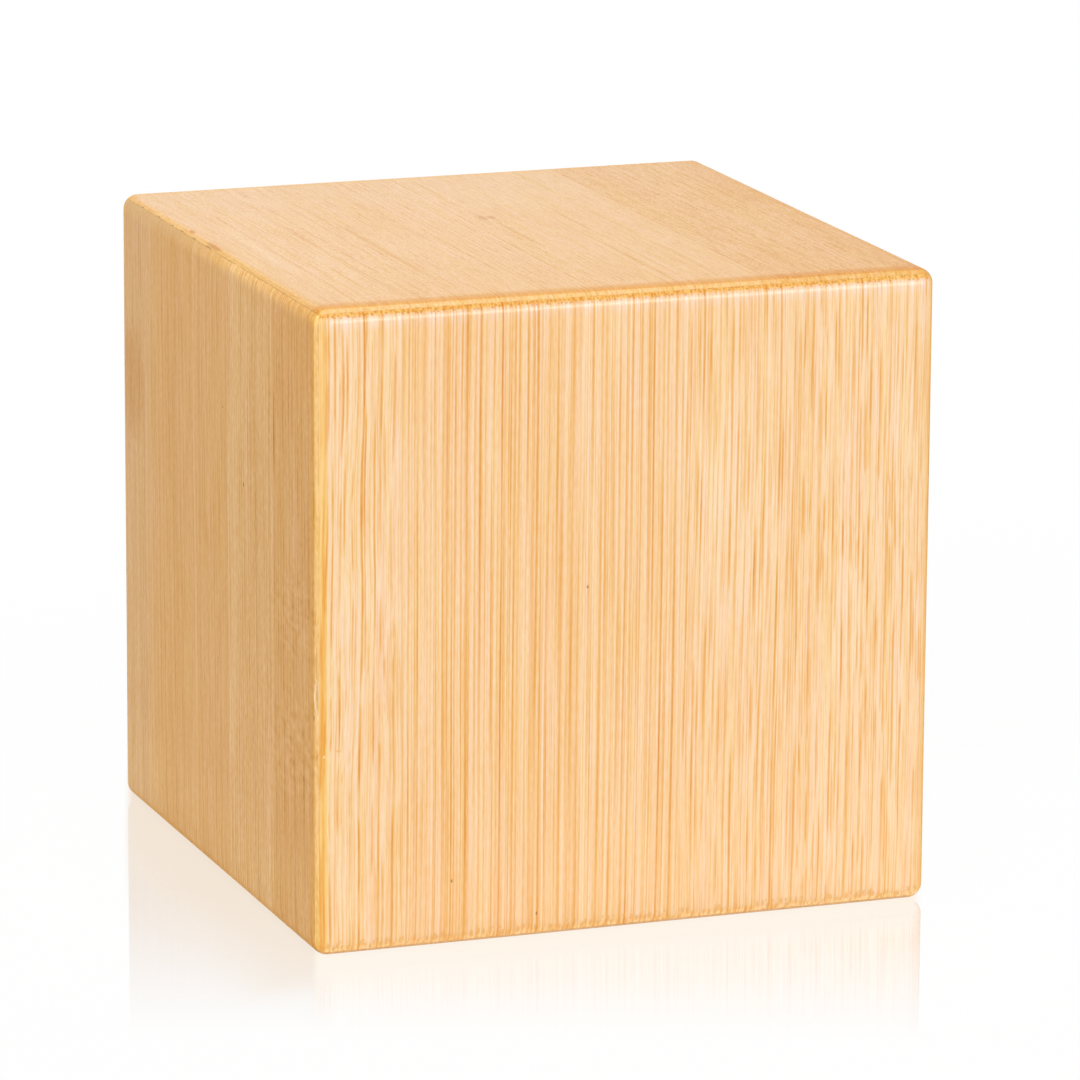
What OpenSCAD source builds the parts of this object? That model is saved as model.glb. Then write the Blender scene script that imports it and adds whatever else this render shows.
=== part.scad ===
// Bamboo cube: six mitred panels glued edge to edge into a closed hollow box.
// The box stands on the plane z = 0 with its middle on the z axis, and its front panel faces -y.

/* [Cube] */
// Outside length of every edge
cube_side = 60; // [40:1:120]
// Radius of the rounding sanded along every edge and over every corner
edge_radius = 1.5; // [0.5:0.1:3]

/* [Panels] */
// Thickness of the bamboo board that the panels are cut from
panel_thickness = 5; // [4:0.5:12]

/* [Hidden] */

// Circles and spheres are true curves, shown with this many facets
$fn = 64;

// Half of a side, and half of the span between the axes of two opposite roundings
half_side = cube_side / 2;
half_core = half_side - edge_radius;

// The panels' mitres all meet in the planes that run from the middle of the cube through its edges.
// A cutter on the far side of such a plane is this long, which takes it clear of the whole cube
cutter_side = 2 * cube_side;
mitre_angle = 45;

// Bamboo colours: the sunlit front stock, the browner side stock and the pale lid stock
front_bamboo = "#f5cd9d";
side_bamboo = "#d6ab78";
flat_bamboo = "#f2c796";

// Cube centred on the origin, with a quarter round along its edges and an eighth of a ball on its corners
module rounded_cube() {
  for (stretch = [[1, 0, 0], [0, 1, 0], [0, 0, 1]])
    cube([for (reach = stretch) 2 * (half_core + reach * edge_radius)], center = true);

  for (turn = [[0, 0, 0], [90, 0, 0], [0, 90, 0]], side_a = [-1, 1], side_b = [-1, 1])
    rotate(turn)
      translate([side_a * half_core, side_b * half_core, 0])
        cylinder(r = edge_radius, h = 2 * half_core, center = true);

  for (x = [-1, 1], y = [-1, 1], z = [-1, 1])
    translate(half_core * [x, y, z])
      sphere(r = edge_radius);
}

// Half space beyond the mitre plane on one side of an upward panel
module mitre_cutter(side_turn) {
  rotate([0, 0, side_turn])
    rotate([0, mitre_angle, 0])
      translate([0, -cutter_side / 2, -cutter_side / 2])
        cube(cutter_side);
}

// One panel facing +z: the outer skin of the rounded cube, cut by the mitres on its four sides
module upward_panel() {
  difference() {
    intersection() {
      rounded_cube();
      translate([0, 0, half_side - panel_thickness / 2])
        cube([cube_side, cube_side, panel_thickness], center = true);
    }
    for (quarter = [0:3])
      mitre_cutter(90 * quarter);
  }
}

// The same panel turned to face another way and lifted to its place in the standing cube
module panel(facing, stock) {
  color(stock)
    translate([0, 0, half_side])
      rotate(facing)
        upward_panel();
}

module front_panel() { panel([90, 0, 0], front_bamboo); }
module back_panel() { panel([-90, 0, 0], front_bamboo); }
module left_panel() { panel([0, -90, 0], side_bamboo); }
module right_panel() { panel([0, 90, 0], side_bamboo); }
module top_panel() { panel([0, 0, 0], flat_bamboo); }
module bottom_panel() { panel([180, 0, 0], flat_bamboo); }

front_panel();
back_panel();
left_panel();
right_panel();
top_panel();
bottom_panel();
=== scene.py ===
"""Bamboo cube: six mitred panels of varnished bamboo board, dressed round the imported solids.

Lengths are in millimetres until a mesh or a lamp is made. On each panel, across runs over the grain,
along runs with it and height is measured out from the middle of the cube.
"""
import math

import bpy
import numpy as np
from mathutils import Matrix, Vector


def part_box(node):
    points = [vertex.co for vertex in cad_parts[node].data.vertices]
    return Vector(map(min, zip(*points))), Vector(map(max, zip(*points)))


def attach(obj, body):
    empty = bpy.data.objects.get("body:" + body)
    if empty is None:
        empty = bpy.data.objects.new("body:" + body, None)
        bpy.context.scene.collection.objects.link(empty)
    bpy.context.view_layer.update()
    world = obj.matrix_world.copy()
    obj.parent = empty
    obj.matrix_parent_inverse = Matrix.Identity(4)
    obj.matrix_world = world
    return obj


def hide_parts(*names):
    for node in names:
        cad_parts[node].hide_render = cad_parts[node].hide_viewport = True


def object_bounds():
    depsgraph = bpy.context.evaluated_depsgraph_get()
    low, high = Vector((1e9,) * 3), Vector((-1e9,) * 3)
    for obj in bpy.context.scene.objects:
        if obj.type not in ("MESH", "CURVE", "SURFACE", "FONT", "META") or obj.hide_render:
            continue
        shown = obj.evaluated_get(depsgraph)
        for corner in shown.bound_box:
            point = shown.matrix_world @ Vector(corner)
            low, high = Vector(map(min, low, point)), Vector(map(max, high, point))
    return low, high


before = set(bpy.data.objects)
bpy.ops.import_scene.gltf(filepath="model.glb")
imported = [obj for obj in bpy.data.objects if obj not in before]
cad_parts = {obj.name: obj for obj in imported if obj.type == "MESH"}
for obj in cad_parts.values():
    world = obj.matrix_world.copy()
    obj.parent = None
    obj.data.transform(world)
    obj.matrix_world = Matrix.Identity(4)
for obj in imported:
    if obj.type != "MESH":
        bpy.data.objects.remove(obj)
cad_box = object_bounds()

# The cube
MM = 0.001
SIDE = (cad_box[1].x - cad_box[0].x) / MM
HALF = SIDE / 2
BOARD = (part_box("top_panel")[1].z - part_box("top_panel")[0].z) / MM
EDGE_RADIUS = 1.5
CORE = HALF - EDGE_RADIUS
MIDDLE = Vector((0, 0, HALF * MM))

# Mesh stations: spacing on the flat and steps round each quarter of an edge
FLAT_ACROSS = 0.75
FLAT_ALONG = 0.4
ARC_STEPS = 14

# Marks of making and wear
SEAM_DEPTH = 0.015
SEAM_REACH = 0.06
SANDING_DEPTH = 0.04
EASED_DEPTH = 0.05
EASED_REACH = 1.4
SANDING_WAVES = ((31, 37, 43), (0.4, 1.9, 3.1))
SEAM_WAVES = ((7, 9, 11), (2.0, 0.3, 1.2))

# How often the bamboo's patterns repeat in a millimetre, across the grain and along it
SLOW_ACROSS = 0.35
SWAY_ACROSS, SWAY_ALONG = 0.06, 0.025
CURL_ACROSS, CURL_ALONG = 0.30, 0.09
KINK_ACROSS, KINK_ALONG = 1.8, 0.25
TWIST_ACROSS, TWIST_ALONG = 0.55, 1.1
STRAND_ACROSS = 7.0
DASH_ACROSS = 6.0
BAND_ACROSS = 0.35
HUE_ACROSS, HUE_ALONG = 1.6, 0.04
RAGGED = 0.9

# How far the fibres sway from side to side
SWAY = 0.5

# Lengths at 45 degrees: square to a mitre, and out along the middle of a rounding
TO_MITRE = 0.7071
ROUND_OUT = 0.7

# The varnish and the fibres' grooves under it
GROOVE_STRENGTH = 0.3
GROOVE_DEPTH = 0.02
VARNISH_IOR = 1.45

# A step over the floor towards the lens goes this far along -x and along -y
SIGHT_X = 0.345
SIGHT_Y = 0.939

# What each millimetre nearer to the lens adds to the width at which a thing is seen
WIDENING = 0.0014


class Value:
    """A number that varies over a surface. Arithmetic on it adds Math nodes to its finish."""

    def __init__(self, finish, socket):
        self.finish = finish
        self.socket = socket

    def output(self, name):
        """Another output of the node that this value comes from."""
        return Value(self.finish, self.socket.node.outputs[name])

    def math(self, operation, *others):
        return self.finish.math(operation, self, *others)

    def __add__(self, other):
        return self.math("ADD", other)

    def __sub__(self, other):
        return self.math("SUBTRACT", other)

    def __rsub__(self, other):
        return self.finish.math("SUBTRACT", other, self)

    def __mul__(self, other):
        return self.math("MULTIPLY", other)

    def __truediv__(self, other):
        return self.math("DIVIDE", other)

    def __abs__(self):
        return self.math("ABSOLUTE")

    __radd__ = __add__
    __rmul__ = __mul__

    def at_least(self, other):
        return self.math("MAXIMUM", other)

    def at_most(self, other):
        return self.math("MINIMUM", other)

    def step(self, low, high, first, last):
        """A smooth step from the first amount at low to the last at high."""
        ends = {"From Min": low, "From Max": high, "To Min": first, "To Max": last}
        return self.finish.node(
            "ShaderNodeMapRange", {"interpolation_type": "SMOOTHSTEP"}, {"Value": self, **ends}
        )

    def rise(self, low, high, most=1.0):
        return self.step(low, high, 0.0, most)

    def fall(self, low, high, most=1.0):
        return self.step(low, high, most, 0.0)


class Finish:
    """A material or the world's light in the making: every node of it comes from node()."""

    def __init__(self, name, world=None):
        self.material = world or bpy.data.materials.new(name)
        self.material.use_nodes = True
        self.tree = self.material.node_tree
        self.tree.nodes.clear()

    def node(self, kind, settings=None, sockets=None, output=0):
        """Adds a node, sets it up, feeds its sockets and gives back one output as a Value."""
        made = self.tree.nodes.new(kind)
        for name, setting in (settings or {}).items():
            if name == "stops":
                self.set_stops(made.color_ramp.elements, setting)
            else:
                setattr(made, name, setting)
        for name, fed in (sockets or {}).items():
            self.feed(made.inputs[name], fed)
        return Value(self, made.outputs[output]) if len(made.outputs) else made

    @staticmethod
    def set_stops(elements, stops):
        while len(elements) < len(stops):
            elements.new(0.5)
        for element, (place, colour) in zip(elements, stops):
            element.position = place
            element.color = colour

    def feed(self, socket, fed):
        if isinstance(fed, Value):
            self.tree.links.new(fed.socket, socket)
        else:
            socket.default_value = fed

    def math(self, operation, *numbers):
        return self.node("ShaderNodeMath", {"operation": operation}, dict(enumerate(numbers)))

    def point(self, x, y, z=0.0):
        return self.node("ShaderNodeCombineXYZ", None, {"X": x, "Y": y, "Z": z})

    def noise(self, x, y, z=0.0, detail=0.0, rough=0.5):
        """Soft noise round 0, from about -0.5 to 0.5, with features one unit of x, y and z apart."""
        sockets = {"Vector": self.point(x, y, z), "Scale": 1.0, "Detail": detail, "Roughness": rough}
        return self.node("ShaderNodeTexNoise", None, sockets) - 0.5

    def scatter(self, x, y):
        """Distance to the nearest of scattered points one unit apart; output Color differs for each."""
        settings = {"voronoi_dimensions": "2D", "feature": "F1"}
        sockets = {"Vector": self.point(x, y), "Scale": 1.0, "Randomness": 0.9}
        return self.node("ShaderNodeTexVoronoi", settings, sockets, "Distance")

    def rows(self, x):
        """Distance to the nearest of uneven lines about one unit apart; output Color differs for each."""
        settings = {"voronoi_dimensions": "1D", "feature": "F1"}
        sockets = {"W": x, "Scale": 1.0, "Randomness": 0.8}
        return self.node("ShaderNodeTexVoronoi", settings, sockets, "Distance")

    def blend(self, share, first, second, kind="MIX"):
        """Mixes two colours; share 0 gives the first."""
        settings = {"data_type": "RGBA", "blend_type": kind}
        return self.node("ShaderNodeMix", settings, {0: share, 6: first, 7: second}, 2)

    def red(self, colour):
        return self.node("ShaderNodeSeparateColor", None, {"Color": colour}, "Red")

    def ramp(self, amount, stops):
        """Colour by amount: stops are (amount, colour) pairs."""
        return self.node("ShaderNodeValToRGB", {"stops": stops}, {"Fac": amount}, "Color")


def stations(spacing):
    """Places along one side of a panel: (core, slope) pairs of arrays.

    Core runs over the flat from -CORE to CORE and stays there round the edges. Slope is the tangent of
    the tilt of the surface, which goes from -45 to 45 degrees over the edges, with steps that shrink
    towards the seam as the square of their number.
    """
    flat = np.linspace(-CORE, CORE, int(round(2 * CORE / spacing)) + 1)
    step = np.arange(1, ARC_STEPS + 1) / ARC_STEPS
    tilt = np.radians(45) * (1 - (1 - step) ** 2)
    end = np.full(ARC_STEPS, CORE)
    core = np.concatenate([-end, flat, end])
    slope = np.concatenate([-np.tan(tilt[::-1]), np.zeros(len(flat)), np.tan(tilt)])
    return core, slope


def ripple(points, lengths, phase):
    """A slow wave over space between -1 and 1: the mean of sines along x, y and z of given lengths."""
    turns = 2 * np.pi * points / np.array(lengths) + np.array(phase)
    return np.sin(turns).mean(axis=-1)


def worn_depth(points, to_seam, to_edge):
    """How far the surface lies under the ideal one.

    Sanding takes off a slow wave, and eases each face down towards its edges by exp of minus the distance
    to where the rounding starts over a reach. Each seam is a narrow valley, exp of minus the distance to
    it over its own reach, and the valley's depth wavers along the seam.
    """
    sanded = SANDING_DEPTH * (0.5 + 0.5 * ripple(points, *SANDING_WAVES))
    eased = EASED_DEPTH * np.exp(-to_edge / EASED_REACH)
    waver = 0.6 + 0.4 * ripple(points, *SEAM_WAVES)
    return sanded + eased + SEAM_DEPTH * waver * np.exp(-to_seam / SEAM_REACH)


def chipped_depth(points, chips):
    """Depth of small chips: each a hollow that rises as a parabola from its middle to its oval rim."""
    total = 0
    for across, along, wide, long, deep in chips:
        far = ((points[..., 0] - across) / wide) ** 2 + ((points[..., 1] - along) / long) ** 2
        total = total + deep * np.maximum(1 - far, 0)
    return total


def panel_skin(place, chips):
    """Outer skin of a panel on a grid of across and along stations.

    A point of the skin is (core across, core along, CORE) plus EDGE_RADIUS times the unit vector along
    (slope across, slope along, 1). That is the flat face, a quarter round's half on each edge and a third
    of the ball's eighth at each corner. Wear then moves it against that unit vector.
    """
    core_a, slope_a = (grid[:, None] for grid in stations(FLAT_ACROSS))
    core_g, slope_g = (grid[None, :] for grid in stations(FLAT_ALONG))
    normal = np.stack(np.broadcast_arrays(slope_a, slope_g, 1.0), axis=-1)
    normal = normal / np.linalg.norm(normal, axis=-1, keepdims=True)
    core = np.stack(np.broadcast_arrays(core_a, core_g, CORE), axis=-1)
    ideal = core + EDGE_RADIUS * normal
    steepest = np.maximum(np.abs(slope_a), np.abs(slope_g))
    to_seam = EDGE_RADIUS * (np.radians(45) - np.arctan(steepest))
    to_edge = CORE - np.maximum(np.abs(core_a), np.abs(core_g))
    depth = worn_depth(ideal @ place, to_seam, to_edge) + chipped_depth(ideal, chips)
    return ideal - depth[..., None] * normal


def panel_mesh(name, place, chips):
    """A closed panel: its skin, its flat back and the mitres between them.

    The back is the skin drawn towards the middle of the cube until it meets the plane of the board's
    back, so every mitre lies in a plane through the middle of the cube, as its neighbour's does.
    """
    skin = panel_skin(place, chips)
    back = skin * ((HALF - BOARD) / skin[..., 2:3])
    rows, columns = skin.shape[:2]
    count = rows * columns
    index = np.arange(count).reshape(rows, columns)
    quads = np.stack([index[:-1, :-1], index[1:, :-1], index[1:, 1:], index[:-1, 1:]], axis=-1)
    quads = quads.reshape(-1, 4)
    rim = np.concatenate([index[:-1, 0], index[-1, :-1], index[:0:-1, -1], index[0, :0:-1]])
    following = np.roll(rim, -1)
    mitres = np.stack([rim, rim + count, following + count, following], axis=-1)
    faces = np.concatenate([quads, quads[:, ::-1] + count, mitres])
    points = np.concatenate([skin.reshape(-1, 3), back.reshape(-1, 3)]) @ place * MM
    mesh = bpy.data.meshes.new(name)
    mesh.from_pydata(points + np.array(MIDDLE), [], faces)
    smooth = np.zeros(len(faces), bool)
    smooth[: len(quads)] = True
    mesh.polygons.foreach_set("use_smooth", smooth)
    on_rim = np.zeros(2 * count, bool)
    on_rim[rim] = True
    on_rim[rim + count] = True
    ends = np.zeros(2 * len(mesh.edges), np.int32)
    mesh.edges.foreach_get("vertices", ends)
    mesh.edges.foreach_set("use_edge_sharp", on_rim[ends.reshape(-1, 2)].all(axis=1))
    lay_out_map(mesh, rows, columns, len(quads), rim)
    return mesh


def lay_out_map(mesh, rows, columns, skin_faces, rim):
    """Flat map of a panel: the skin takes most of the square, its back and mitres the strips left over."""
    reach = 0.93
    spare = np.array([0.945, 0.995])
    across, along = np.meshgrid(np.linspace(0, 1, rows), np.linspace(0, 1, columns), indexing="ij")
    spot = np.stack([across, along], axis=-1).reshape(-1, 2)
    corners = np.zeros(len(mesh.loops), np.int32)
    mesh.loops.foreach_get("vertex_index", corners)
    count = rows * columns
    flat = spot[corners % count]
    flat[: 4 * skin_faces] *= reach
    back = slice(4 * skin_faces, 8 * skin_faces)
    flat[back] = spare[0] + (spare[1] - spare[0]) * flat[back]
    mitre = slice(8 * skin_faces, None)
    turn = np.repeat(np.arange(len(rim)), 4) + np.tile([0, 0, 1, 1], len(rim))
    width = spare[0] + (spare[1] - spare[0]) * np.tile([0, 1, 1, 0], len(rim))
    far = turn * 2 / len(rim)
    second = np.repeat(np.arange(len(rim)) >= len(rim) / 2, 4)
    far = reach * np.where(second, far - 1, far)
    flat[mitre] = np.where(second[:, None], np.stack([far, width], -1), np.stack([width, far], -1))
    layer = mesh.uv_layers.new(name="OFBake")
    layer.uv.foreach_set("vector", flat.astype(np.float32).ravel())


class Board:
    """One panel's finish, in millimetres across the grain, along it and down from the face."""

    def __init__(self, name, place, edges):
        self.finish = Finish(name)
        found = self.finish.node("ShaderNodeTexCoord", None, None, "Object")
        from_middle = self.finish.node(
            "ShaderNodeVectorMath", {"operation": "SUBTRACT"}, {0: found, 1: MIDDLE}
        )
        self.across, self.along, self.height = (self.measured(from_middle, axis) for axis in place)
        self.depth = HALF - self.height
        self.flat = self.finish.point(self.across, self.along)
        joint = 0.06
        self.steps = [self.across.rise(edge - joint, edge + joint) for edge in edges]

    def measured(self, point, axis):
        """How far a point lies along an axis, in millimetres."""
        return self.finish.node(
            "ShaderNodeVectorMath", {"operation": "DOT_PRODUCT"}, {0: point, 1: Vector(axis) / MM}, "Value"
        )

    def by_strip(self, amounts):
        """A stepped amount over the strips glued into the board: one more than the edges between them."""
        total = amounts[0]
        for step, before, after in zip(self.steps, amounts, amounts[1:]):
            if after != before:
                total = total + step * (after - before)
        return total

    def spot(self, across, along, wide, long, most=1.0):
        """The most in the middle of an oval, 0 outside it."""
        scale = (1 / wide, 1 / long, 0)
        middle = (-across / wide, -along / long, 0)
        out = self.finish.node(
            "ShaderNodeVectorMath", {"operation": "MULTIPLY_ADD"}, {0: self.flat, 1: scale, 2: middle}
        )
        squared = self.finish.node(
            "ShaderNodeVectorMath", {"operation": "DOT_PRODUCT"}, {0: out, 1: out}, "Value"
        )
        return squared.fall(0.0, 1.0, most)


def bamboo(name, place, look):
    """Varnished bamboo board.

    Fibre bundles run in uneven rows along the grain. The depth at which they run wanders, so on a face a
    bundle shows as a line that comes and goes. Each strip comes from another part of the cane, so every
    pattern jumps from strip to strip.
    """
    board = Board(name, place, look["edges"])
    finish = board.finish
    across, along, depth = board.across, board.along, board.depth
    seed = look["seed"]
    strip = board.by_strip(range(len(look["edges"]) + 1))
    wander = board.by_strip(look["wander"])
    fading = along * board.by_strip(look["fading"])
    slow = finish.noise(across * SLOW_ACROSS + strip * 3.7, fading, seed, 1.0)
    sway = finish.noise(across * SWAY_ACROSS + strip * 5.1, along * SWAY_ALONG, seed + 3.3)
    level = depth + wander * slow + strip * 7.31 + seed
    side = across + sway * SWAY - along * look["lean"] + strip * 3.1
    if any(look["curl"]):
        curl = finish.noise(across * CURL_ACROSS + strip * 2.3, along * CURL_ALONG, seed + 7.7)
        side = side + curl * board.by_strip(look["curl"])

    # At the cane's nodes the fibres break up, or twist out of line
    kink = finish.noise(across * KINK_ACROSS, along * KINK_ALONG, seed + 5.0)
    for node_across, node_along, wide, long, strength in look["breakups"]:
        level = level + board.spot(node_across, node_along, wide, long, strength) * kink
    mottle = 0
    for node_across, node_along, wide, long, bend, shade in look["twists"]:
        twist = finish.noise(across * TWIST_ACROSS, along * TWIST_ALONG, seed + 6.0, 1.0, 0.6)
        twist = twist * board.spot(node_across, node_along, wide, long)
        side = side + twist * bend
        mottle = mottle + twist * shade

    # Bundles of several sizes, strands, dashes and slow bands of tone
    grain = 0
    grooves = 0
    breaks = board.by_strip(look["breaks"])
    for pitch, weight, reach in look["bundles"]:
        near = finish.rows(side / pitch + seed)
        shown = finish.noise(side * (0.9 / pitch), level * 1.4 + pitch * 9, fading) * breaks
        strength = (shown + 0.5 * finish.red(near.output("Color")) - 0.25).rise(-0.35, 0.40)
        line = near.fall(0.06, reach, weight)
        grain = grain + line * strength
        grooves = grooves + line
    strand = finish.noise(side * STRAND_ACROSS, level * 2.0, along * look["strand"], 1.0, 0.8)
    dash = finish.noise(side * DASH_ACROSS, level * 3.0, along * look["dash"])
    band = finish.noise(side * BAND_ACROSS, level * 0.2, along * (look["strand"] / 3) + seed, 2.0)
    strands, dashes, bands = look["weights"]
    grain = grain + strand * strands + dash * dashes
    darkness = grain * board.by_strip(look["contrast"]) + band * bands
    darkness = darkness + board.by_strip(look["tone"]) + mottle
    for tint in look["tints"]:
        darkness = darkness + board.spot(*tint)

    # Stains beyond a line: gold where sanded edges drink the varnish, broad tints over a face, and painted
    # light and painted highlights on some roundings. Cut ends show the bundles as dots
    round_end = (abs(along) + depth) * ROUND_OUT
    colour = finish.ramp(darkness, look["colours"])
    hue = finish.noise(side * HUE_ACROSS, level * 0.8, along * HUE_ALONG + seed, 2.0, 0.6)
    colour = finish.blend(1.0, colour, finish.blend(hue.rise(-0.25, 0.25), PINK, YELLOW), "MULTIPLY")
    for axis, way, begin, full, share, tint in look["stains"]:
        outward = across if axis == "across" else along
        stain = outward.rise(way * begin, way * full, share)
        colour = finish.blend(stain, colour, (*tint, 1), "MULTIPLY")
    for way, begin, full, share, wide, tall, tint in look["dots"]:
        near = finish.scatter(side / wide, round_end / tall + seed)
        size = 0.10 + 0.22 * finish.red(near.output("Color"))
        dot = (near - size).fall(0.0, 0.18) * along.rise(way * begin, way * full, share)
        colour = finish.blend(dot, colour, (*tint, 1))

    # Glue line of the mitres
    to_seam = (board.height - abs(across).at_least(abs(along))) * TO_MITRE
    ragged = finish.noise(across * RAGGED, along * RAGGED, seed + 8.0, 3.0, 0.7)
    on_end = (abs(along) - abs(across)).rise(-0.02, 0.02)
    glue = look["flank_glue"] + on_end * (look["end_glue"] - look["flank_glue"])
    glue = glue * (to_seam + ragged * 0.05).fall(0.02, 0.09) * ragged.rise(-0.2, 0.15)
    colour = finish.blend(glue, colour, GLUE)
    # Marks: specks, chips and streaks of the board's own colours, and painted shade over part of the left
    # panel's top rounding
    for *mark, tint in look["marks"]:
        colour = finish.blend(board.spot(*mark), colour, (*tint, 1))

    bump = finish.node(
        "ShaderNodeBump",
        None,
        {"Strength": GROOVE_STRENGTH, "Distance": GROOVE_DEPTH * MM, "Height": 1 - grooves},
    )
    surface = finish.node(
        "ShaderNodeBsdfPrincipled",
        None,
        {
            "Base Color": colour,
            "Roughness": look["gloss"] + strand * 0.05,
            "Specular IOR Level": look["shine"],
            "IOR": VARNISH_IOR,
            "Normal": bump,
        },
    )
    finish.node("ShaderNodeOutputMaterial", None, {"Surface": surface})
    return finish.material


# Each panel's own axes: across the grain, along it and out of the face
PLACES = {
    "front_panel": ((1, 0, 0), (0, 0, 1), (0, -1, 0)),
    "back_panel": ((-1, 0, 0), (0, 0, 1), (0, 1, 0)),
    "left_panel": ((0, -1, 0), (0, 0, 1), (-1, 0, 0)),
    "right_panel": ((0, 1, 0), (0, 0, 1), (1, 0, 0)),
    "top_panel": ((1, 0, 0), (0, 1, 0), (0, 0, 1)),
    "bottom_panel": ((-1, 0, 0), (0, 1, 0), (0, 0, -1)),
}

# Colour ramps from pale to dark grain
PALE = [
    (0.0, (0.925, 0.690, 0.460, 1)),
    (0.30, (0.876, 0.551, 0.266, 1)),
    (0.65, (0.800, 0.392, 0.101, 1)),
    (1.0, (0.660, 0.250, 0.034, 1)),
]
PEACH = [
    (0.0, (0.970, 0.662, 0.402, 1)),
    (0.30, (0.886, 0.540, 0.252, 1)),
    (0.65, (0.775, 0.385, 0.098, 1)),
    (1.0, (0.600, 0.250, 0.034, 1)),
]
BROWN = [
    (0.0, (0.872, 0.572, 0.283, 1)),
    (0.30, (0.800, 0.463, 0.183, 1)),
    (0.65, (0.690, 0.338, 0.090, 1)),
    (1.0, (0.520, 0.222, 0.038, 1)),
]

# Colours of marks, and tints that multiply the bamboo's own colour; a few stand for painted light and
# painted shade
DARK = (0.26, 0.10, 0.03)
RAW = (0.98, 0.74, 0.47)
TAN = (0.80, 0.47, 0.16)
# Painted shade: the side's colour darkened, for a rounding that catches more light than the face
PAINTED_SHADE = (0.66, 0.42, 0.20)
UMBER = (0.62, 0.24, 0.05)
ORANGE = (0.80, 0.40, 0.09)
CHESTNUT = (0.60, 0.22, 0.02)
GOLD = (0.99, 0.90, 0.54)
DEEP_GOLD = (0.99, 0.885, 0.45)
HONEY = (0.94, 0.75, 0.30)
AMBER = (0.92, 0.73, 0.36)
# Pale end grain with a painted highlight: it undoes the amber at the very edge
CREAM_HIGHLIGHT = (1.07, 1.40, 2.55)
# Painted light: a lighter band on a rounding that faces the lamps
PAINTED_LIGHT = (1.16, 1.20, 1.17)
PINK = (1.01, 1.01, 1.10, 1)
YELLOW = (0.99, 0.99, 0.86, 1)
GLUE = (0.28, 0.10, 0.012, 1)

# Each look, from the left strip to the right one: wander, tone, contrast, fading, curl and breaks.
# The strips meet at the edges. Bundles have a pitch, a weight and a reach, and weights are those of strands,
# dashes and bands. Stains lie beyond a line: axis, way, where they begin and are full, share and tint.
# Dots lie beyond a line along the grain: way, begin, full, share, width, height and colour.
# Breakups, twists, tints, marks and chips begin with an oval's place, half width and half length, and end
# with a strength; a bend and a shade; a darkness; a share and a colour; and a depth.
FRONT_LOOK = {
    "colours": PALE,
    "seed": 1.7,
    "edges": (-21.8, -8.5, 5.0, 16.2),
    "wander": (1.5, 0.25, 0.30, 0.9, 0.9),
    "tone": (0.09, 0.15, 0.11, 0.12, 0.09),
    "contrast": (0.75, 0.98, 0.95, 0.76, 0.72),
    "fading": (0.14, 0.04, 0.04, 0.11, 0.14),
    "curl": (0.35, 0.0, 0.0, 0.0, 0.15),
    "breaks": (3.0, 1.0, 1.0, 2.4, 3.4),
    "lean": 0.007,
    "bundles": ((0.66, 0.53, 0.24), (0.45, 0.32, 0.28), (0.29, 0.26, 0.36), (0.20, 0.22, 0.42)),
    "strand": 0.09,
    "dash": 1.0,
    "weights": (0.52, 0.24, 0.16),
    "stains": (
        ("across", -1, 28.78, 28.95, 0.9, DEEP_GOLD),
        ("across", -1, 29.10, 29.30, 1.0, (1.06, 1.08, 1.18)),
        # These two: a gold stain towards the right edge, with red lifted as painted light where the lamps
        # fall off round it
        ("across", 1, 28.60, 29.00, 1.0, (1.03, 0.99, 0.89)),
        ("across", 1, 29.00, 29.40, 1.0, (1.06, 0.95, 0.58)),
        # Painted highlight: a paler, bluer band just under the top edge, where the lamp's highlight lies
        ("along", 1, 27.60, 28.60, 1.0, (0.99, 1.04, 1.26)),
        ("along", 1, 29.02, 29.30, 1.0, HONEY),
        ("along", -1, 28.60, 29.20, 0.4, GOLD),
        # Painted light: the bottom rounding made paler, standing in for light thrown up by the floor
        ("along", -1, 28.90, 29.40, 0.9, (1.16, 1.26, 1.30)),
    ),
    "dots": (
        (1, 28.95, 29.15, 0.65, 0.36, 0.36, CHESTNUT),
        (-1, 28.30, 28.60, 0.6, 0.45, 0.9, ORANGE),
    ),
    "breakups": ((23, 8, 9, 10, 1.2), (-26, -8, 6, 16, 1.0)),
    "twists": (),
    "tints": (
        (11.0, 8.0, 5.0, 14.0, -0.08),
        (9.5, 13.0, 2.2, 10.0, -0.07),
        (21.5, -2.0, 2.2, 8.0, -0.12),
        (-25.5, 2.0, 2.2, 10.0, -0.08),
        (-7.2, 0.0, 1.5, 90.0, 0.08),
        (-3.2, 0.0, 2.6, 90.0, -0.05),
        (17.0, 0.0, 1.3, 90.0, 0.07),
    ),
    "marks": (
        (-4.0, 2.75, 0.12, 0.20, 0.8, DARK),
        (-17.0, -23.75, 0.12, 0.22, 0.8, DARK),
        (-8.75, -27.6, 0.12, 0.22, 0.8, DARK),
        (-29.10, -11.1, 0.12, 0.18, 0.7, RAW),
        (-27.85, -10.6, 0.40, 0.16, 0.5, ORANGE),
    ),
    "chips": ((-29.10, -11.1, 0.20, 0.45, 0.05),),
    "end_glue": 0.12,
    "flank_glue": 0.1,
    "gloss": 0.28,
    "shine": 0.46,
}
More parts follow.
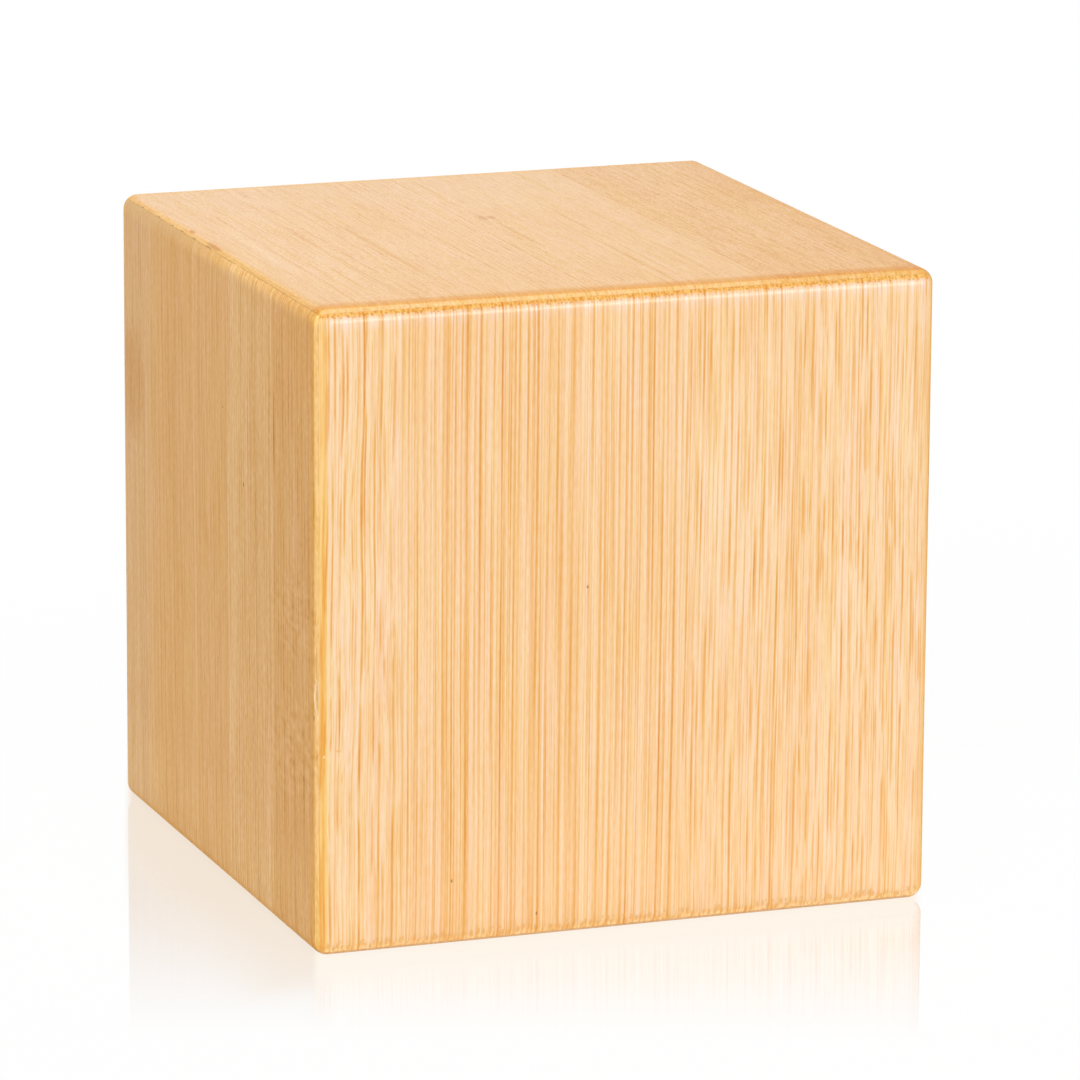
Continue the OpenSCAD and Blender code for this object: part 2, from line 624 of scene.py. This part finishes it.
SIDE_LOOK = {
    "colours": BROWN,
    "seed": 4.2,
    "edges": (-21.75, -8.25, 4.2, 17.8),
    "wander": (0.9, 0.6, 0.6, 0.3, 1.2),
    "tone": (0.30, 0.25, 0.27, 0.14, 0.33),
    "contrast": (0.62, 0.6, 0.6, 0.88, 0.75),
    "fading": (0.14, 0.12, 0.12, 0.08, 0.16),
    "curl": (0.0, 0.0, 0.0, 0.0, 0.3),
    "breaks": (1.5, 1.5, 1.5, 1.4, 1.6),
    "lean": -0.015,
    "bundles": ((0.66, 0.40, 0.24), (0.45, 0.28, 0.28), (0.29, 0.25, 0.36)),
    "strand": 0.22,
    "dash": 1.6,
    "weights": (0.45, 0.55, 0.15),
    "stains": (
        ("across", -1, 17.00, 24.00, 1.0, (1.00, 1.07, 1.30)),
        ("along", -1, 18.00, 27.00, 1.0, (1.03, 1.07, 1.11)),
        ("along", 1, 14.00, 27.00, 1.0, (1.03, 1.02, 1.03)),
        ("across", 1, 27.80, 28.80, 0.6, GOLD),
        # Painted light: the front rounding made much paler where it turns towards the lamps
        ("across", 1, 29.02, 29.20, 1.0, (1.24, 1.45, 1.95)),
        # Painted light: a lighter band on the top rounding
        ("along", 1, 28.00, 29.20, 1.0, PAINTED_LIGHT),
        ("along", -1, 28.20, 29.20, 0.6, GOLD),
    ),
    "dots": (
        (1, 28.60, 29.20, 0.18, 0.36, 0.36, CHESTNUT),
        (-1, 28.60, 29.20, 0.3, 0.4, 0.6, CHESTNUT),
    ),
    "breakups": ((24.5, -5, 9, 16, 2.0),),
    "twists": ((24.5, 0.5, 9, 6, 0.35, 0.7), (24.5, -11.5, 9, 7, 0.35, 0.7)),
    "tints": (
        (-26.0, 12.5, 5.0, 7.0, 0.20),
        (18.1, 16.0, 0.35, 6.0, 0.30),
        (23.8, 14.0, 0.5, 14.0, -0.12),
        (12.4, 13.0, 0.3, 14.0, 0.14),
        (-7.9, 6.0, 0.3, 14.0, 0.10),
        (-13.0, 0.0, 4.0, 90.0, 0.06),
        (-6.0, 0.0, 1.8, 90.0, -0.06),
        (5.2, 0.0, 1.4, 90.0, -0.06),
        (13.5, 0.0, 4.0, 90.0, 0.06),
    ),
    "marks": (
        # Painted shade: the back of the top rounding darkened to the face's look, against the light it
        # catches
        (-20.0, 29.7, 26.0, 1.5, 0.65, PAINTED_SHADE),
        (9.0, 9.6, 0.25, 0.30, 0.7, DARK),
        (2.75, 15.6, 0.20, 0.15, 0.6, DARK),
        (1.0, -8.75, 0.20, 0.15, 0.5, DARK),
        (29.32, -2.7, 0.22, 1.60, 0.5, TAN),
        (29.26, -5.6, 0.20, 1.60, 0.8, TAN),
        (29.06, -5.6, 0.08, 0.80, 1.0, RAW),
        (29.13, -4.8, 0.08, 0.60, 1.0, RAW),
        (29.13, -6.4, 0.08, 0.60, 1.0, RAW),
        (29.26, -4.2, 0.09, 0.50, 1.0, RAW),
        (29.26, -7.0, 0.09, 0.50, 1.0, RAW),
        (29.52, -5.2, 0.07, 1.50, 1.0, RAW),
        (29.05, -7.6, 0.10, 0.35, 0.6, DARK),
    ),
    "chips": ((29.28, -5.6, 0.24, 1.70, 0.12),),
    "end_glue": 0.5,
    "flank_glue": 0.2,
    "gloss": 0.55,
    "shine": 0.1,
}
FLAT_LOOK = {
    "colours": PEACH,
    "seed": 8.9,
    "edges": (-27.0, -15.5, 0.0, 13.5),
    "wander": (0.8, 0.8, 1.2, 1.2, 1.2),
    "tone": (0.16, 0.15, 0.18, 0.20, 0.33),
    "contrast": (0.7, 0.8, 0.7, 0.62, 0.8),
    "fading": (0.20, 0.20, 0.30, 0.30, 0.30),
    "curl": (0.0, 0.0, 0.0, 0.0, 0.0),
    "breaks": (1.5, 1.5, 2.0, 2.0, 2.0),
    "lean": 0.0,
    "bundles": ((0.66, 0.24, 0.24), (0.45, 0.20, 0.28), (0.29, 0.20, 0.36)),
    "strand": 0.35,
    "dash": 2.2,
    "weights": (0.25, 0.65, 0.20),
    "stains": (
        ("along", -1, 6.00, 27.00, 1.0, (0.985, 0.955, 0.88)),
        ("along", 1, 8.00, 27.00, 1.0, (1.00, 1.02, 1.09)),
        ("across", -1, 28.80, 29.35, 1.0, GOLD),
        ("across", 1, 27.50, 29.00, 0.6, GOLD),
        ("along", -1, 26.80, 28.30, 1.0, AMBER),
        # A cream band of end grain, with a painted highlight, along the front edge
        ("along", -1, 28.95, 29.15, 1.0, CREAM_HIGHLIGHT),
        ("along", 1, 26.50, 28.50, 0.6, GOLD),
    ),
    "dots": ((-1, 28.90, 29.30, 0.10, 0.36, 0.36, CHESTNUT),),
    "breakups": ((-0.75, 6.5, 5, 4, 0.8),),
    "twists": (),
    "tints": (
        (-15.3, -6.0, 0.35, 22.0, 0.22),
        (5.3, -18.0, 0.35, 16.0, 0.20),
        (-0.7, -2.0, 0.35, 9.0, 0.22),
        (-20.5, 0.0, 0.3, 22.0, 0.12),
        (30.0, 0.0, 6.0, 60.0, 0.12),
        (-26.0, -5.0, 0.9, 26.0, -0.12),
        (2.0, 18.0, 13.0, 14.0, -0.04),
        (-4.0, -6.0, 3.0, 16.0, 0.04),
    ),
    "marks": (
        (-1.15, 6.6, 0.50, 1.7, 0.45, UMBER),
        (-0.35, 6.5, 0.45, 1.0, 0.55, UMBER),
        (-29.05, 9.3, 0.26, 1.0, 0.6, CHESTNUT),
        (-29.20, 2.0, 0.26, 2.9, 0.7, CHESTNUT),
        (-29.48, 23.8, 0.10, 0.4, 0.6, DARK),
        (-29.48, 18.6, 0.10, 0.6, 0.5, DARK),
        (-29.48, 14.2, 0.10, 0.4, 0.6, DARK),
        (-29.48, 11.2, 0.10, 0.5, 0.6, DARK),
        (-29.48, 7.4, 0.10, 0.6, 0.6, DARK),
        (-29.48, 3.0, 0.10, 1.2, 0.6, DARK),
    ),
    "chips": (),
    "end_glue": 0.3,
    "flank_glue": 0.5,
    "gloss": 0.40,
    "shine": 0.3,
}
SANDED_STAINS = (
    ("across", -1, 28.40, 29.20, 0.5, GOLD),
    ("across", 1, 28.40, 29.20, 0.5, GOLD),
    ("along", 1, 28.60, 29.30, 0.7, GOLD),
    ("along", -1, 28.60, 29.30, 0.5, GOLD),
)
BACK_LOOK = {
    **FRONT_LOOK,
    "stains": SANDED_STAINS,
    "seed": 31.3,
    "edges": (-18.5, -4.6, 8.2, 21.9),
    "tone": (0.13, 0.09, 0.16, 0.12, 0.10),
    "breakups": ((1.5, -9, 12, 8, 1.2),),
    "tints": ((-11, 14, 5, 12, -0.08), (14, -16, 4, 10, 0.06)),
    "marks": ((6.4, 11.8, 0.14, 0.22, 0.7, DARK), (-15.2, -19.5, 0.12, 0.30, 0.6, DARK)),
    "chips": (),
}
RIGHT_LOOK = {
    **SIDE_LOOK,
    # The last stain is painted light: a lighter rim on the front edge, which the lamps only graze
    "stains": (*SANDED_STAINS, ("across", -1, 28.80, 29.30, 1.0, (1.16, 1.16, 1.05))),
    "seed": 47.9,
    "edges": (-24.3, -11.6, 1.9, 14.2),
    "tone": (0.26, 0.12, 0.28, 0.24, 0.29),
    "contrast": (0.8, 1.0, 0.6, 0.6, 0.7),
    "breakups": ((-17.5, 4, 8, 14, 2.0),),
    "twists": ((-17.5, 6, 8, 6, 0.35, 0.7),),
    "tints": (
        (-11.4, -6, 0.3, 14, 0.14),
        (2.1, 10, 0.3, 14, 0.12),
        (20, 9, 5, 7, 0.12),
    ),
    "marks": ((10.8, -7.2, 0.12, 0.24, 0.7, DARK),),
    "chips": (),
}
BOTTOM_LOOK = {
    **FLAT_LOOK,
    "stains": SANDED_STAINS,
    "seed": 63.1,
    "edges": (-22.5, -9.4, 4.1, 17.6),
    "tone": (0.22, 0.16, 0.20, 0.15, 0.24),
    "breakups": ((11, -8, 5, 4, 0.8),),
    "tints": (
        (-9.2, 7, 0.35, 20, 0.20),
        (17.8, -4, 0.35, 18, 0.20),
        (4.3, 12, 0.3, 10, 0.14),
    ),
    "marks": ((11, -8, 0.40, 1.6, 0.5, UMBER),),
}
LOOKS = {
    "front_panel": FRONT_LOOK,
    "back_panel": BACK_LOOK,
    "left_panel": SIDE_LOOK,
    "right_panel": RIGHT_LOOK,
    "top_panel": FLAT_LOOK,
    "bottom_panel": BOTTOM_LOOK,
}


def make_panel(node):
    """One panel in its place and finish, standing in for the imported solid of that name."""
    name = "bamboo_" + node
    look = LOOKS[node]
    place = np.array(PLACES[node], float)
    panel = bpy.data.objects.new(name, panel_mesh(name, place, look["chips"]))
    bpy.context.scene.collection.objects.link(panel)
    panel.data.materials.append(bamboo(name, place, look))
    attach(panel, "root")
    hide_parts(node)


def make_camera():
    """A long lens to the left of the front and a little above the cube."""
    azimuth, elevation, roll = (math.radians(angle) for angle in (-20.161, 13.407, 0.346))
    back = Vector((
        math.sin(azimuth) * math.cos(elevation),
        -math.cos(azimuth) * math.cos(elevation),
        math.sin(elevation),
    ))
    right = Vector((math.cos(azimuth), math.sin(azimuth), 0))
    up = back.cross(right)
    right, up = (
        right * math.cos(roll) + up * math.sin(roll),
        up * math.cos(roll) - right * math.sin(roll),
    )
    distance, aside, above = 11.2866, 0.0372, 0.0006
    place = MIDDLE + (back * distance + right * aside + up * above) * SIDE * MM
    lens = bpy.data.cameras.new("camera")
    lens.sensor_width = 36
    lens.lens = 238.28
    lens.clip_start = 0.01
    camera = bpy.data.objects.new("camera", lens)
    turn = Matrix((right, up, back)).transposed().to_4x4()
    camera.matrix_world = Matrix.Translation(place) @ turn
    bpy.context.scene.collection.objects.link(camera)
    bpy.context.scene.camera = camera


def make_softbox(name, azimuth, elevation, distance, size, radiance):
    """A square soft lamp that faces the cube; azimuth 0 is in front of it and 90 to its right."""
    lamp = bpy.data.lights.new(name, "AREA")
    lamp.shape = "SQUARE"
    lamp.size = size
    lamp.energy = radiance * math.pi * size**2
    softbox = bpy.data.objects.new(name, lamp)
    softbox.visible_camera = False
    a, e = math.radians(azimuth), math.radians(elevation)
    towards = Vector((math.sin(a) * math.cos(e), -math.cos(a) * math.cos(e), math.sin(e)))
    softbox.location = MIDDLE + towards * distance
    softbox.rotation_euler = (-towards).to_track_quat("-Z", "Y").to_euler()
    bpy.context.scene.collection.objects.link(softbox)


def seen_directly(finish):
    """1 for camera, mirror and glass rays, 0 for the light that surfaces gather."""
    path = finish.node("ShaderNodeLightPath", None, None, "Is Camera Ray")
    return path.at_least(path.output("Is Glossy Ray")).at_least(path.output("Is Transmission Ray"))


def make_floor():
    """A wide white floor with a faint shadow, polished enough in front to mirror the foot of the cube.

    Close to the foot of the faces that the lamps light, a painted reflection gives it some of their colour.
    """
    reach = 3.0
    sunk = 0.02 * MM
    mesh = bpy.data.meshes.new("floor")
    corners = reach * np.array([(-1, -1, 0), (1, -1, 0), (1, 1, 0), (-1, 1, 0)]) - (0, 0, sunk)
    mesh.from_pydata(corners, [], [(0, 1, 2, 3)])
    floor = bpy.data.objects.new("floor", mesh)
    bpy.context.scene.collection.objects.link(floor)
    finish = Finish("white_floor")
    found = finish.node("ShaderNodeTexCoord", None, None, "Object")
    x = finish.node("ShaderNodeSeparateXYZ", None, {"Vector": found}, "X")
    y = x.output("Y")
    away = abs(x).at_least(abs(y)) / MM - HALF
    nearer = (x * -SIGHT_X - y * SIGHT_Y) / MM
    paint = finish.node(
        "ShaderNodeBsdfPrincipled",
        None,
        {"Base Color": (0.9, 0.9, 0.9, 1), "Roughness": 0.7, "Specular IOR Level": 0.0},
    )
    aside = (x * SIGHT_Y - y * SIGHT_X) / MM * (1 + nearer * WIDENING)

    # Where the cube's foot ends and turns its corner, seen from the lens, and how far the mirror reaches
    left_end, corner, right_end = (-37.6, -36.6), (-19.2, -18.4), (38.0, 39.2)
    mirror_end, mirror_fade = 61, 46
    # Colours of the painted reflection beside the left face and in front of the front face
    painted_left_reflection, painted_front_reflection = (0.90, 0.79, 0.67, 1), (1.0, 0.91, 0.80, 1)
    in_front = aside.rise(*corner)
    fading = ((mirror_end - nearer) / mirror_fade).at_most(1.0).at_least(0.0)
    ahead = nearer.rise(-45, -18)
    beside = aside.rise(*left_end) * aside.fall(*right_end)
    # Painted reflection: near the foot, the floor's glow takes the colour of the faces above it, and the
    # mirror gives way to it
    painted_reflection = away.fall(1.5, 13.0) * beside * ahead
    tint = finish.blend(
        painted_reflection * (0.70 + 0.30 * fading), (1, 1, 1, 1), finish.blend(in_front, painted_left_reflection, painted_front_reflection)
    )
    white = finish.node("ShaderNodeEmission", None, {"Color": tint, "Strength": 1.0})
    glow = seen_directly(finish) * (0.96 + 0.04 * away.rise(20, 120))
    surface = finish.node("ShaderNodeMixShader", None, {0: glow, 1: paint, 2: white})
    polish = finish.node("ShaderNodeBsdfAnisotropic", None, {"Color": (1, 1, 1, 1), "Roughness": 0.02})
    mirror = (0.36 + 0.25 * in_front) * fading * away.fall(40, 120) * (1 - painted_reflection) * ahead
    surface = finish.node("ShaderNodeMixShader", None, {0: mirror, 1: surface, 2: polish})
    finish.node("ShaderNodeOutputMaterial", None, {"Surface": surface})
    mesh.materials.append(finish.material)


def make_surroundings(ambient):
    """White all round where it is seen, and a low even light on the cube."""
    world = bpy.data.worlds.new("studio")
    bpy.context.scene.world = world
    finish = Finish("studio", world)
    low = finish.node("ShaderNodeBackground", None, {"Color": (1, 1, 1, 1), "Strength": ambient})
    white = finish.node("ShaderNodeBackground", None, {"Color": (1, 1, 1, 1), "Strength": 1.0})
    surface = finish.node("ShaderNodeMixShader", None, {0: seen_directly(finish), 1: low, 2: white})
    finish.node("ShaderNodeOutputWorld", None, {"Surface": surface})


for panel_node in PLACES:
    make_panel(panel_node)
make_camera()
make_floor()
make_surroundings(ambient=0.35)
make_softbox("key", azimuth=20, elevation=10, distance=0.9, size=0.24, radiance=12.8)
make_softbox("fill", azimuth=-45, elevation=18, distance=1.0, size=0.8, radiance=0.85)
make_softbox("overhead", azimuth=-60, elevation=75, distance=1.0, size=0.8, radiance=3.1)
bpy.context.scene.view_settings.view_transform = "Standard"
